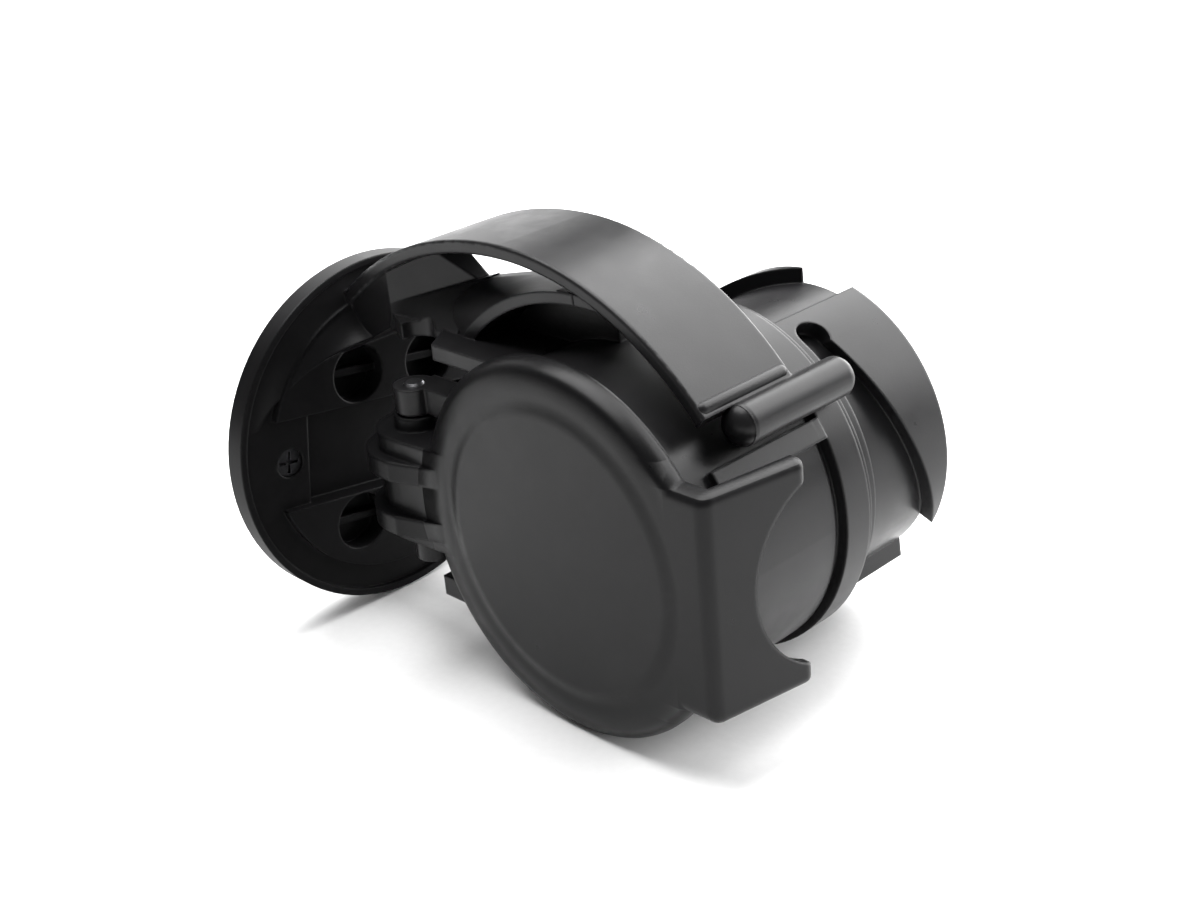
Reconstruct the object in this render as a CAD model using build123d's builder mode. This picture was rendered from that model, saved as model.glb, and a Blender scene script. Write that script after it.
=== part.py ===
from build123d import *

import math
import os

# A short trailer plug adapter: a thirteen-pin bayonet plug at the back and a seven-pin
# socket with a sprung lid at the front. One moulding carries both, with a round flange
# at the side, a hood and a grip strap that arches over the body to a finger bead.
# Millimetres. Y runs along the plug axis, from the socket's mouth at y = 0 to the plug end.
# X runs across, from the flange at the hinge side to the lid's finger skirt. Z is up.

os.makedirs("parts", exist_ok=True)

# Clearances
RUN_GAP = 0.3
SLIP_GAP = 0.05

# Main tube
TUBE_R = 24.9
BORE_R = 21.3
MOUTH_R = 21.8
MOUTH_DEEP = 4.6
TUBE_FRONT = 0.0
COLLAR_R = 25.8
COLLAR_LENGTH = 4.8
COLLAR_END = 30.2
GROOVE_WIDTH = 1.3
GROOVE_DEPTH = 0.8
SEAT_Y = 20.0
WEB_THICK = 2.0
WIRE_HOLE_R = 15.5
REAR_HOLE_R = 17.0
RIM_EDGE = 0.6

# Plug end
FLANGE_R = 20.6
FLANGE_THICK = 3.2
NOSE_R = 18.3
NOSE_WALL = 2.0
NOSE_END = 49.6
NOSE_FLOOR = 35.0
PIN_R = 1.25
PIN_TIP = 44.0
PIN_TAIL = 2.5
OUTER_PINS = 8
OUTER_PIN_CIRCLE = 11.6
INNER_PINS = 4
INNER_PIN_CIRCLE = 5.6
KEY_WIDTH = 4.0
KEY_HEIGHT = 0.9
KEY_LENGTH = 8.0
PLUG_GASKET = 0.6
NOSE_SEAL_Y = 38.5
NOSE_SEAL_WIDTH = 2.0
NOSE_SEAL_HEIGHT = 1.1
SEAL_GROOVE = 0.7

# Bayonet ring
RING_LENGTH = 19.9
RING_LOW_R = 21.6
RING_HIGH_R = 23.9
RING_BORE_R = 20.2
RING_LIP_R = 25.1
RING_LIP_WIDTH = 1.0
RING_WEB = 3.0
RING_STARTS = 3
RAMP_START = 71.0
RAMP_CLOSED = 60.0
RAMP_TIP = -27.0
RAMP_RUN = 6.0
WALL_SLOPE = 0.44
WALL_TURN = 75.0
WALL_REACH = 48.0
SLOT_END_R = 2.5
SLOT_END_Y = 36.4
SLOT_BACK = 2.4
RETAINER_WIDTH = 1.2
RETAINER_HEIGHT = 1.5
RETAINER_GROOVE = 0.5

# Socket end
INSERT_R = 16.2
INSERT_FRONT = 5.0
INSERT_BASE = 3.0
CONTACT_CIRCLE = 10.6
CONTACT_R = 2.7
CONTACT_BORE_R = 1.8
CONTACT_DEPTH = 12.0
CONTACT_TAIL = 2.5
CONTACTS_ROUND = 6
SOCKET_SEAL_THICK = 0.8
CONTACT_SUNK = 0.5
CONTACT_TAIL_R = 1.3
CLAMP_SCREWS = 3
CLAMP_DEEP = 2.6
CLAMP_TURN = 30.0
WIRE_R = 0.7
CONTACT_PLATE = 1.2

# Small screws
SCREW_R = 1.2
SCREW_HEAD_R = 2.2
SCREW_HEAD = 1.3
SLOT_WIDTH = 0.6

# Lid
LID_OVERHANG = 2.1
LID_R = TUBE_R + LID_OVERHANG
LID_FRONT = -3.0
LID_THICK = 2.6
LID_EDGE = 1.8
FACE_R = 19.4
FACE_EDGE = 2.2
FACE_STEP = 0.4
LID_EAR_Z = 16.0
SKIRT_EDGE = 1.4
TIP_EDGE = 1.0
SKIRT_LENGTH = 16.3
SKIRT_THICK = 2.3
SKIRT_FLARE = 2.8
SCOOP_R = 14.5
SCOOP_DEEP = 4.4
LID_SEAL_R = 23.4
LID_SEAL_THICK = 1.1
LID_SEAL_SUNK = 1.0

# Hinge
PIN_X = -33.8
PIN_Y = 2.5
HINGE_PIN_R = 1.5
KNUCKLE_R = 6.3
KNUCKLE_TOP = 8.5
KNUCKLE_LOW = -7.4
COLLET_R = 3.6
RIB_RISE = 1.8
RIB_WIDTH = 3.0
RIB_PITCH = 8.6
LUG_R = 3.1
LUG_HIGH_BASE = 10.8
LUG_HIGH_TOP = 14.7
LUG_LOW_LENGTH = 5.0
LUG_ARM = 4.4
LUG_REACH = -20.4
ARM_END = -22.0
RIB_END = -23.4
ARM_BACK = 2.0
SPRING_POCKET_R = 3.9
SPRING_POCKET_Z = 2.6
SPRING_R = 2.55
SPRING_WIRE = 0.8
SPRING_TURNS = 4

# Side flange
DISC_X = -52.0
DISC_Y = 9.8
DISC_Z = 0.8
DISC_R = 27.5
DISC_THICK = 3.2
DISC_LIP = 1.1
DISC_LIP_RISE = 0.8
PAD_R = 22.4
PAD_RISE = 1.3
FACE_TURN = 8.0
FACE_Z = -1.2
RECESS_Z = 7.2
RECESS_HALF = 15.4
RECESS_DEEP = 1.8
POCKET_R = 4.5
POCKET_Y = 6.8
POCKET_Z = 11.9
POCKET_DEEP = 2.2
POCKET_RIB = 1.2
COVER_R = 24.6
COVER_THICK = 3.0
COVER_WALL = 1.2
COVER_SCREW_R = 18.8
COVER_EDGE = 1.4
COVER_GASKET = 0.5
COVER_SCREW_LENGTH = 3.6
SCREW_SUNK = 0.4

# Strap, hood and bead
STRAP_FRONT = 5.0
STRAP_BACK = 22.0
STRAP_THICK = 2.0
STRAP_EDGE = 0.45
PEAK_X = -15.0
PEAK_Z = 37.7
LEFT_ARC_R = 57.0
RIGHT_ARC_R = 47.0
STRAP_END_X = 20.4
BEAD_SHIFT = 0.7
BEAD_DROP = 2.61666
BEAD_R = 2.8
BEAD_FRONT = 10.5
BEAD_BACK = 31.0
TONGUE_FRONT = 12.0
TONGUE_BACK = 20.0
TONGUE_SHORT = 0.29384
TONGUE_TURN = 2.00221
LEDGE_TURN = 35.0
LEDGE_RISE = 1.0
LEDGE_WIDTH = 3.0
HOOD_R = 33.6
HOOD_WALL = 1.6
HOOD_RIDGE_Y = 12.0
HOOD_BACK = 21.0
HOOD_WEB = 2.0
PLATE_SINK = 4.2
PLATE_THICK = 2.3
PLATE_LOW = TUBE_R - PLATE_SINK
PLATE_TOP = PLATE_LOW + PLATE_THICK
HOLLOW_STEP = 1.51342
HOLLOW_RUN = 1.4308
PLATE_FRONT = 0.4
PLATE_LEFT = -25.8
NECK_X = -49.7
CHEEK_X = -41.0
CHEEK_Y = 5.5
CHEEK_Z = 24.4
BELL_R = 9.0
ARCH_Z = 15.0
ARCH_RISE = 0.55
NOTCH_SHIFT = 0.8
NOTCH_R = 2.9
WEB_TOP = -15.0
WEB_LOW = -18.2
WEB_FRONT = 1.0
WEB_LEFT = -31.0

# Values that follow from those above
RING_FRONT = COLLAR_END + RUN_GAP
RING_END = RING_FRONT + RING_LENGTH
FLANGE_SEAT = COLLAR_END - FLANGE_THICK
COLLAR_START = COLLAR_END - COLLAR_LENGTH
LID_BACK = LID_FRONT + LID_THICK
DISC_AXIS = Axis((0, DISC_Y, DISC_Z), (1, 0, 0))
DISC_BACK = DISC_X - DISC_THICK
LUG_LOW_BASE = KNUCKLE_LOW - RUN_GAP
LUG_LOW_END = LUG_LOW_BASE - LUG_LOW_LENGTH
COLLET_TOP = LUG_HIGH_BASE - RUN_GAP
HINGE_PIN_TOP = LUG_HIGH_TOP + 0.3
HOOD_WALL_BACK = HOOD_RIDGE_Y + HOOD_WEB
CLAMP_CIRCLE = (INSERT_R + BORE_R) / 2
INSERT_SEAT = SEAT_Y - SOCKET_SEAL_THICK
HOLDER_SEAT = FLANGE_SEAT - PLUG_GASKET
RETAINER_Y = RING_FRONT + RING_WEB + RUN_GAP
WALL_FOOT = RING_FRONT + RING_LIP_WIDTH
TUBE_SIDE = -TUBE_R - 0.8
COVER_SEAT = DISC_BACK - COVER_GASKET


def across(y):
    """The plane across the plug axis at y, with X to the right and Z up; its normal is -Y."""
    return Plane.XZ.offset(-y)


def beside(x):
    """The plane across the flange axis at x, with Y to the right and Z up; its normal is +X."""
    return Plane.YZ.offset(x)


def flange_face(x):
    """The flange's own plane at x: its features sit on lines turned a little from the level."""
    turn = math.radians(FACE_TURN)
    return Plane(
        origin=(x, DISC_Y, FACE_Z),
        x_dir=(0, math.cos(turn), -math.sin(turn)),
        z_dir=(1, 0, 0),
    )


def strap_point(x, radius, depth=0.0):
    """A point of the strap's arch at x, on the arc of the given radius, at a depth below its face."""
    return (x, PEAK_Z - radius + math.sqrt((radius - depth) ** 2 - (x - PEAK_X) ** 2))


def stepped_section(steps):
    """A half section to revolve about the plug axis: steps are (radius, y start, y end)."""
    with BuildSketch(Plane.XY) as section:
        for radius, low, high in steps:
            with Locations((radius / 2, (low + high) / 2)):
                Rectangle(radius, high - low)
    return section.sketch


def is_tip_edge(edge):
    """True for the four short edges at the free corners of the lid's skirt."""
    return (
        abs(edge.center().Y - LID_FRONT - SKIRT_LENGTH) < 0.2
        and abs(abs(edge.center().Z) - LID_EAR_Z) < 0.01
    )


def is_skirt_edge(edge):
    """True for the two outer edges that run back along the lid's skirt."""
    return edge.length > 8 and abs(abs(edge.center().Z) - LID_EAR_Z) < 0.5 and edge.center().X > LID_R


# Bell: the concave flare from the flange's rim in to the neck, kept only above the hinge
with BuildPart() as bell:
    foot_r = DISC_R - DISC_LIP - 0.2
    neck_r = foot_r - BELL_R
    with BuildSketch(Plane.XZ.offset(-DISC_Y)):
        with BuildLine():
            flare = ThreePointArc(
                (DISC_X, DISC_Z + foot_r),
                (DISC_X + 1.8, DISC_Z + foot_r - 5.4),
                (DISC_X + BELL_R, DISC_Z + neck_r),
            )
            Polyline(flare @ 1, (DISC_X + BELL_R, DISC_Z), (DISC_X, DISC_Z), flare @ 0)
        make_face()
    revolve(axis=DISC_AXIS)
    # The arch under the bell: it climbs from the flange's front rim, then runs level, and its
    # cut edge slopes up from the flange to the neck
    with BuildSketch(beside(DISC_X)):
        with BuildLine():
            arch = ThreePointArc(
                (DISC_Y - 23.0, ARCH_Z - 6.6),
                (DISC_Y - 17.6, ARCH_Z - 2.4),
                (DISC_Y - 8.0, ARCH_Z),
            )
            Polyline(
                arch @ 1,
                (DISC_Y + DISC_R, ARCH_Z),
                (DISC_Y + DISC_R, DISC_Z + DISC_R),
                (DISC_Y - DISC_R, DISC_Z + DISC_R),
                (DISC_Y - DISC_R, ARCH_Z - 6.6),
                arch @ 0,
            )
        make_face()
    extrude(amount=BELL_R * 1.2, dir=(1, 0, ARCH_RISE), mode=Mode.INTERSECT)

# Hood: a sloping shell over the tube, lofted from its open mouth to a ridge, with a wall
# across its back, a level plate under its hollow, and a cheek and neck towards the bell
with BuildPart() as hood:
    with BuildSketch(across(STRAP_FRONT)) as hood_mouth:
        with BuildLine():
            mouth = CenterArc((0, 0), HOOD_R, 92, 42)
            Polyline(mouth @ 1, (PLATE_LEFT, PLATE_LOW), (0, PLATE_LOW), mouth @ 0)
        make_face()
    with BuildSketch(across(HOOD_RIDGE_Y)) as hood_ridge:
        with BuildLine():
            ridge = ThreePointArc(mouth @ 0, (-25.0, 29.4), (NECK_X, PLATE_LOW))
            Polyline(ridge @ 1, (NECK_X + 0.6, PLATE_LOW - 0.6), (0, PLATE_LOW), ridge @ 0)
        make_face()
    loft()
    hollow_r = HOOD_R - HOOD_WALL
    hollow_turn = math.degrees(math.acos((PLATE_TOP + HOLLOW_STEP) / hollow_r))
    with BuildSketch(across(STRAP_FRONT)):
        with BuildLine():
            hollow = CenterArc((0, 0), hollow_r, 90, hollow_turn)
            foot = ((hollow @ 1).X - HOLLOW_RUN, PLATE_TOP)
            Polyline(hollow @ 1, foot, (0, PLATE_TOP), hollow @ 0)
        make_face()
    extrude(amount=STRAP_FRONT - HOOD_RIDGE_Y, mode=Mode.SUBTRACT)
    extrude(hood_ridge.sketch, amount=-HOOD_WEB)
    # The cheek: it slopes from the plate's front edge up to the foot of the gusset
    with BuildSketch(beside(CHEEK_X)):
        Polygon(
            (CHEEK_Y - 0.6, PLATE_LOW),
            (CHEEK_Y - 0.5, PLATE_LOW + 0.8),
            (CHEEK_Y, CHEEK_Z),
            (HOOD_WALL_BACK, CHEEK_Z),
            (HOOD_WALL_BACK, PLATE_LOW),
            align=None,
        )
    with BuildSketch(beside(PLATE_LEFT)):
        Polygon(
            (STRAP_FRONT, PLATE_LOW),
            (STRAP_FRONT, PLATE_TOP),
            (HOOD_RIDGE_Y, 29.4),
            (HOOD_WALL_BACK, 29.4),
            (HOOD_WALL_BACK, PLATE_LOW),
            align=None,
        )
    loft(ruled=True)
    with BuildSketch(Plane.XY.offset(PLATE_LOW)):
        Polygon(
            (PLATE_LEFT, PLATE_FRONT),
            (-2.0, PLATE_FRONT),
            (-2.0, HOOD_BACK),
            (NECK_X, HOOD_BACK),
            (CHEEK_X, CHEEK_Y),
            (PIN_X - 1.6, PIN_Y + 0.4),
            (PIN_X + 4.4, PIN_Y + 3.4),
            align=None,
        )
    extrude(amount=PLATE_TOP - PLATE_LOW)
    # The notch in the plate's edge that lets the hinge pin in from above
    with BuildSketch(Plane.XY.offset(PLATE_LOW)):
        with Locations((PIN_X + NOTCH_SHIFT, PIN_Y + NOTCH_SHIFT)):
            Circle(NOTCH_R)
            with Locations((0, -3.0)):
                Rectangle(2 * NOTCH_R, 6.0)
    extrude(amount=PLATE_TOP + 1.4 - PLATE_LOW, mode=Mode.SUBTRACT)
    # The neck
    with BuildSketch(across(CHEEK_Y)):
        Polygon(
            (DISC_X, ARCH_Z),
            (CHEEK_X - 0.6, PLATE_LOW),
            (CHEEK_X, PLATE_LOW),
            (CHEEK_X, CHEEK_Z),
            (DISC_X, CHEEK_Z),
            align=None,
        )
    extrude(amount=CHEEK_Y - HOOD_BACK)

# Gusset: the web that closes the strap's left end against the neck and the cheek
with BuildPart() as gusset:
    with BuildSketch(across(CHEEK_Y)):
        Polygon(
            (-28.1, 28.6),
            (-34.5, strap_point(-34.5, LEFT_ARC_R, STRAP_THICK / 2)[1]),
            (DISC_X, strap_point(DISC_X, LEFT_ARC_R, STRAP_THICK / 2)[1]),
            (DISC_X, PLATE_LOW),
            (-40.0, PLATE_LOW),
            align=None,
        )
    extrude(amount=CHEEK_Y - HOOD_WALL_BACK)
    with BuildSketch(Plane.XY.offset(PLATE_LOW)):
        Polygon(
            (DISC_X, CHEEK_Y),
            (CHEEK_X, CHEEK_Y),
            (-27.0, HOOD_RIDGE_Y + 0.4),
            (-27.0, HOOD_WALL_BACK),
            (DISC_X, HOOD_WALL_BACK),
            align=None,
        )
    extrude(amount=PEAK_Z - PLATE_LOW, mode=Mode.INTERSECT)

# The finger bead hangs just outside the strap's end
strap_end = strap_point(STRAP_END_X, RIGHT_ARC_R)
BEAD_X = strap_end[0] + BEAD_SHIFT
BEAD_Z = strap_end[1] - BEAD_DROP

# Strap: an arched band from the flange's face over the body, ending in a finger bead
with BuildPart() as strap:
    left_x = DISC_X - 0.6
    left_mid = (left_x + PEAK_X) / 2
    right_mid = (STRAP_END_X + PEAK_X) / 2
    with BuildSketch(across(STRAP_FRONT)):
        with BuildLine():
            ThreePointArc(
                strap_point(left_x, LEFT_ARC_R),
                strap_point(left_mid, LEFT_ARC_R),
                (PEAK_X, PEAK_Z),
            )
            ThreePointArc(
                (PEAK_X, PEAK_Z),
                strap_point(right_mid, RIGHT_ARC_R),
                strap_point(STRAP_END_X, RIGHT_ARC_R),
            )
            Line(
                strap_point(STRAP_END_X, RIGHT_ARC_R),
                strap_point(STRAP_END_X - 1.4, RIGHT_ARC_R, STRAP_THICK),
            )
            ThreePointArc(
                strap_point(STRAP_END_X - 1.4, RIGHT_ARC_R, STRAP_THICK),
                strap_point(right_mid, RIGHT_ARC_R, STRAP_THICK),
                (PEAK_X, PEAK_Z - STRAP_THICK),
            )
            ThreePointArc(
                (PEAK_X, PEAK_Z - STRAP_THICK),
                strap_point(left_mid, LEFT_ARC_R, STRAP_THICK),
                strap_point(left_x, LEFT_ARC_R, STRAP_THICK),
            )
            Line(
                strap_point(left_x, LEFT_ARC_R, STRAP_THICK),
                strap_point(left_x, LEFT_ARC_R),
            )
        make_face()
    extrude(amount=STRAP_FRONT - STRAP_BACK)
    long_edges = strap.edges().filter_by(GeomType.CIRCLE)
    fillet(long_edges, radius=STRAP_EDGE)
    # The strap's end turns down to the bead, a rounded bar along the body
    with BuildSketch(across(BEAD_FRONT)):
        Polygon(
            strap_point(STRAP_END_X - 3.0, RIGHT_ARC_R, STRAP_THICK),
            strap_point(STRAP_END_X - 1.0, RIGHT_ARC_R, 0.3),
            strap_point(STRAP_END_X, RIGHT_ARC_R),
            (BEAD_X + 0.6, BEAD_Z),
            (BEAD_X - 1.6, BEAD_Z),
            align=None,
        )
    extrude(amount=BEAD_FRONT - STRAP_BACK)
    with BuildSketch(across(BEAD_FRONT)):
        with Locations((BEAD_X, BEAD_Z)):
            Circle(BEAD_R)
    extrude(amount=BEAD_FRONT - BEAD_BACK)
    bead_ends = strap.edges().filter_by(GeomType.CIRCLE).filter_by(
        lambda e: abs(e.radius - BEAD_R) < 0.01 and abs(e.center().Y - BEAD_BACK) < 0.1
    )
    fillet(bead_ends, radius=BEAD_R * 0.55)

# Housing: one moulding with the tube, collar, hinge lugs, flange, bell, hood and strap.
with BuildPart() as housing:
    revolve(
        stepped_section(
            [
                (TUBE_R, TUBE_FRONT, COLLAR_START),
                (COLLAR_R, COLLAR_START, COLLAR_END),
            ]
        ),
        axis=Axis.Y,
    )

    # The round side flange with its lip, pads, recess and pockets
    with BuildSketch(across(DISC_Y)):
        with BuildLine():
            Polyline(
                (DISC_BACK, DISC_Z),
                (DISC_BACK, DISC_Z + DISC_R - 0.6),
                (DISC_BACK + 0.6, DISC_Z + DISC_R),
                (DISC_X + DISC_LIP_RISE, DISC_Z + DISC_R),
                (DISC_X + DISC_LIP_RISE, DISC_Z + DISC_R - DISC_LIP),
                (DISC_X, DISC_Z + DISC_R - DISC_LIP),
                (DISC_X, DISC_Z),
                close=True,
            )
        make_face()
    revolve(axis=DISC_AXIS)
    with BuildSketch(flange_face(DISC_X)):
        with Locations((0, DISC_Z - FACE_Z)):
            Circle(PAD_R)
        Rectangle(3 * PAD_R, 2 * RECESS_Z, mode=Mode.SUBTRACT)
    extrude(amount=PAD_RISE)
    with BuildSketch(flange_face(DISC_X)):
        Rectangle(2 * RECESS_HALF, 2 * RECESS_Z)
    extrude(amount=-RECESS_DEEP, mode=Mode.SUBTRACT)
    with BuildSketch(flange_face(DISC_X + PAD_RISE)):
        with GridLocations(2 * POCKET_Y, 2 * POCKET_Z, 2, 2):
            Circle(POCKET_R)
    extrude(amount=-PAD_RISE - POCKET_DEEP, mode=Mode.SUBTRACT)
    with BuildSketch(flange_face(DISC_X - POCKET_DEEP)):
        with GridLocations(2 * POCKET_Y, 2 * POCKET_Z, 2, 2):
            Rectangle(2 * POCKET_R + 0.6, POCKET_RIB)
    extrude(amount=POCKET_DEEP * 0.7)

    add(bell.part)
    add(hood.part)
    add(gusset.part)
    add(strap.part)

    # The lower web between the flange and the tube, below the hinge
    with BuildSketch(Plane.XY.offset(WEB_LOW)):
        Polygon(
            (WEB_LEFT, WEB_FRONT),
            (-14.0, WEB_FRONT),
            (-14.0, HOOD_BACK),
            (DISC_X, HOOD_BACK),
            (DISC_X, HOOD_RIDGE_Y),
            (WEB_LEFT, HOOD_RIDGE_Y),
            align=None,
        )
    extrude(amount=WEB_TOP - WEB_LOW)

    # Hinge lugs: a round eye above and below the lid's knuckle, each on an arm from the tube
    for start, end in ((LUG_HIGH_BASE, LUG_HIGH_TOP), (LUG_LOW_END, LUG_LOW_BASE)):
        with BuildSketch(Plane.XY.offset(start)):
            with Locations((PIN_X, PIN_Y)):
                Circle(LUG_R)
            with Locations(((PIN_X + LUG_REACH) / 2, PIN_Y + LUG_ARM / 2 - 0.6)):
                Rectangle(LUG_REACH - PIN_X, LUG_ARM)
        extrude(amount=end - start)

    # A longitudinal ledge on the tube, and the tongue that stands on it below the bead
    with BuildSketch(across(TUBE_FRONT + 5.0)):
        with Locations(Location((0, 0), LEDGE_TURN)):
            with Locations((TUBE_R - 1.0 + LEDGE_RISE / 2, -LEDGE_WIDTH / 2)):
                Rectangle(LEDGE_RISE + 2.0, LEDGE_WIDTH)
    extrude(amount=TUBE_FRONT + 5.0 - COLLAR_START)
    tongue_start = TUBE_R - 2.0
    tongue_end = math.hypot(BEAD_X, BEAD_Z) - TONGUE_SHORT
    with BuildSketch(across(TONGUE_FRONT)):
        with Locations(Location((0, 0), math.degrees(math.atan2(BEAD_Z, BEAD_X)) - TONGUE_TURN)):
            with Locations(((tongue_start + tongue_end) / 2, 0)):
                Rectangle(tongue_end - tongue_start, 2.2)
    extrude(amount=TONGUE_FRONT - TONGUE_BACK)

    # Groove in front of the collar
    with BuildSketch(Plane.XY):
        with Locations((TUBE_R, COLLAR_START - GROOVE_WIDTH / 2)):
            Rectangle(2 * GROOVE_DEPTH, GROOVE_WIDTH)
    revolve(axis=Axis.Y, mode=Mode.SUBTRACT)

    # The socket's mouth and bore, the web behind them with the wire hole, and the seat of the
    # plug insert
    with BuildSketch(Plane.XY):
        for radius, low, high in (
            (MOUTH_R, TUBE_FRONT - 1.0, MOUTH_DEEP),
            (BORE_R, TUBE_FRONT - 1.0, SEAT_Y),
            (WIRE_HOLE_R, SEAT_Y - 1.0, SEAT_Y + WEB_THICK + 1.0),
            (REAR_HOLE_R, SEAT_Y + WEB_THICK, FLANGE_SEAT),
            (FLANGE_R + SLIP_GAP, HOLDER_SEAT, COLLAR_END + 0.5),
        ):
            with Locations((radius / 2, (low + high) / 2)):
                Rectangle(radius, high - low)
    revolve(axis=Axis.Y, mode=Mode.SUBTRACT)

    # Holes for the hinge pin, the cover screws and the long clamp screws
    with Locations((PIN_X, PIN_Y, LUG_HIGH_TOP)):
        Hole(HINGE_PIN_R + SLIP_GAP, depth=LUG_HIGH_TOP - LUG_LOW_END)
    for radius, deep in (
        (SCREW_HEAD_R + SLIP_GAP, SCREW_SUNK + SCREW_HEAD),
        (SCREW_R, DISC_THICK),
    ):
        with BuildSketch(flange_face(DISC_X)):
            with Locations((-COVER_SCREW_R, 0), (COVER_SCREW_R, 0)):
                Circle(radius)
        extrude(amount=-deep, mode=Mode.SUBTRACT)
    with BuildSketch(across(SEAT_Y)):
        with PolarLocations(CLAMP_CIRCLE, CLAMP_SCREWS, start_angle=CLAMP_TURN):
            Circle(SCREW_R)
    extrude(amount=SEAT_Y - HOLDER_SEAT, mode=Mode.SUBTRACT)
housing.part.label = "housing"
export_step(housing.part, "parts/housing.step")

# Side cover: a shallow round cup that closes the flange from outside, held by two screws
with BuildPart() as side_cover:
    with BuildSketch(across(DISC_Y)):
        with BuildLine():
            Polyline(
                (COVER_SEAT, DISC_Z + COVER_R - COVER_WALL),
                (COVER_SEAT, DISC_Z + COVER_R),
                (COVER_SEAT - COVER_THICK, DISC_Z + COVER_R),
                (COVER_SEAT - COVER_THICK, DISC_Z),
                (COVER_SEAT - COVER_THICK + COVER_WALL, DISC_Z),
                (COVER_SEAT - COVER_THICK + COVER_WALL, DISC_Z + COVER_R - COVER_WALL),
                close=True,
            )
        make_face()
    revolve(axis=DISC_AXIS)
    rim_edge = side_cover.edges().filter_by(GeomType.CIRCLE).group_by(Axis.X)[0]
    fillet(rim_edge, radius=COVER_EDGE)
    with BuildSketch(flange_face(COVER_SEAT)):
        with Locations((-COVER_SCREW_R, 0), (COVER_SCREW_R, 0)):
            Circle(SCREW_R + 2.0)
            Circle(SCREW_R, mode=Mode.SUBTRACT)
    extrude(amount=COVER_WALL - COVER_THICK)
side_cover.part.label = "side_cover"
export_step(side_cover.part, "parts/side_cover.step")

# Cover gasket: a rubber ring pinched between the flange and the side cover
with BuildPart() as cover_gasket:
    with BuildSketch(beside(DISC_BACK)):
        with Locations((DISC_Y, DISC_Z)):
            Circle(COVER_R)
            Circle(COVER_R - COVER_WALL, mode=Mode.SUBTRACT)
    extrude(amount=-COVER_GASKET)
cover_gasket.part.label = "cover_gasket"
export_step(cover_gasket.part, "parts/cover_gasket.step")

# Side cover screws: two short screws sunk in the flange's inner face
with BuildPart() as side_cover_screws:
    for radius, start, deep in (
        (SCREW_HEAD_R, DISC_X - SCREW_SUNK, SCREW_HEAD),
        (SCREW_R - SLIP_GAP, DISC_X - SCREW_SUNK - SCREW_HEAD, COVER_SCREW_LENGTH),
    ):
        with BuildSketch(flange_face(start)):
            with Locations((-COVER_SCREW_R, 0), (COVER_SCREW_R, 0)):
                Circle(radius)
        extrude(amount=-deep)
    with BuildSketch(flange_face(DISC_X - SCREW_SUNK)):
        with Locations((-COVER_SCREW_R, 0), (COVER_SCREW_R, 0)):
            Rectangle(2 * SCREW_HEAD_R - 1.0, SLOT_WIDTH)
            Rectangle(SLOT_WIDTH, 2 * SCREW_HEAD_R - 1.0)
    extrude(amount=-SCREW_HEAD / 2, mode=Mode.SUBTRACT)
side_cover_screws.part.label = "side_cover_screws"
export_step(side_cover_screws.part, "parts/side_cover_screws.step")

# Socket insert: the moulded carrier of the seven contacts, seated against the web
with BuildPart() as socket_insert:
    revolve(
        stepped_section(
            [
                (INSERT_R, INSERT_FRONT, INSERT_SEAT),
                (BORE_R - SLIP_GAP, INSERT_SEAT - INSERT_BASE, INSERT_SEAT),
            ]
        ),
        axis=Axis.Y,
    )
    front_edge = socket_insert.edges().filter_by(GeomType.CIRCLE).group_by(Axis.Y)[0]
    chamfer(front_edge, length=RIM_EDGE)
    with BuildSketch(across(INSERT_FRONT)):
        Circle(CONTACT_R)
        with PolarLocations(CONTACT_CIRCLE, CONTACTS_ROUND, start_angle=30):
            Circle(CONTACT_R)
    extrude(amount=INSERT_FRONT - INSERT_SEAT, mode=Mode.SUBTRACT)
    with BuildSketch(across(INSERT_FRONT)):
        with Locations((0, INSERT_R)):
            Rectangle(KEY_WIDTH, 2 * KEY_HEIGHT)
    extrude(amount=INSERT_FRONT - INSERT_SEAT)
    with BuildSketch(across(INSERT_SEAT - INSERT_BASE)):
        with PolarLocations(CLAMP_CIRCLE, CLAMP_SCREWS, start_angle=CLAMP_TURN):
            Circle(SCREW_R)
    extrude(amount=-INSERT_BASE, mode=Mode.SUBTRACT)
socket_insert.part.label = "socket_insert"
export_step(socket_insert.part, "parts/socket_insert.step")

# Socket contacts: seven brass tubes, six on a circle and one at the centre
with BuildPart() as socket_contacts:
    with BuildSketch(across(INSERT_FRONT + CONTACT_SUNK)):
        Circle(CONTACT_R - SLIP_GAP)
        with PolarLocations(CONTACT_CIRCLE, CONTACTS_ROUND, start_angle=30):
            Circle(CONTACT_R - SLIP_GAP)
    extrude(amount=INSERT_FRONT + CONTACT_SUNK - INSERT_SEAT)
    with BuildSketch(across(INSERT_SEAT)):
        Circle(CONTACT_TAIL_R)
        with PolarLocations(CONTACT_CIRCLE, CONTACTS_ROUND, start_angle=30):
            Circle(CONTACT_TAIL_R)
    extrude(amount=-CONTACT_TAIL)
    with BuildSketch(across(INSERT_FRONT + CONTACT_SUNK)):
        Circle(CONTACT_BORE_R)
        with PolarLocations(CONTACT_CIRCLE, CONTACTS_ROUND, start_angle=30):
            Circle(CONTACT_BORE_R)
    extrude(amount=-CONTACT_DEPTH, mode=Mode.SUBTRACT)
socket_contacts.part.label = "socket_contacts"
export_step(socket_contacts.part, "parts/socket_contacts.step")

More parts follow.
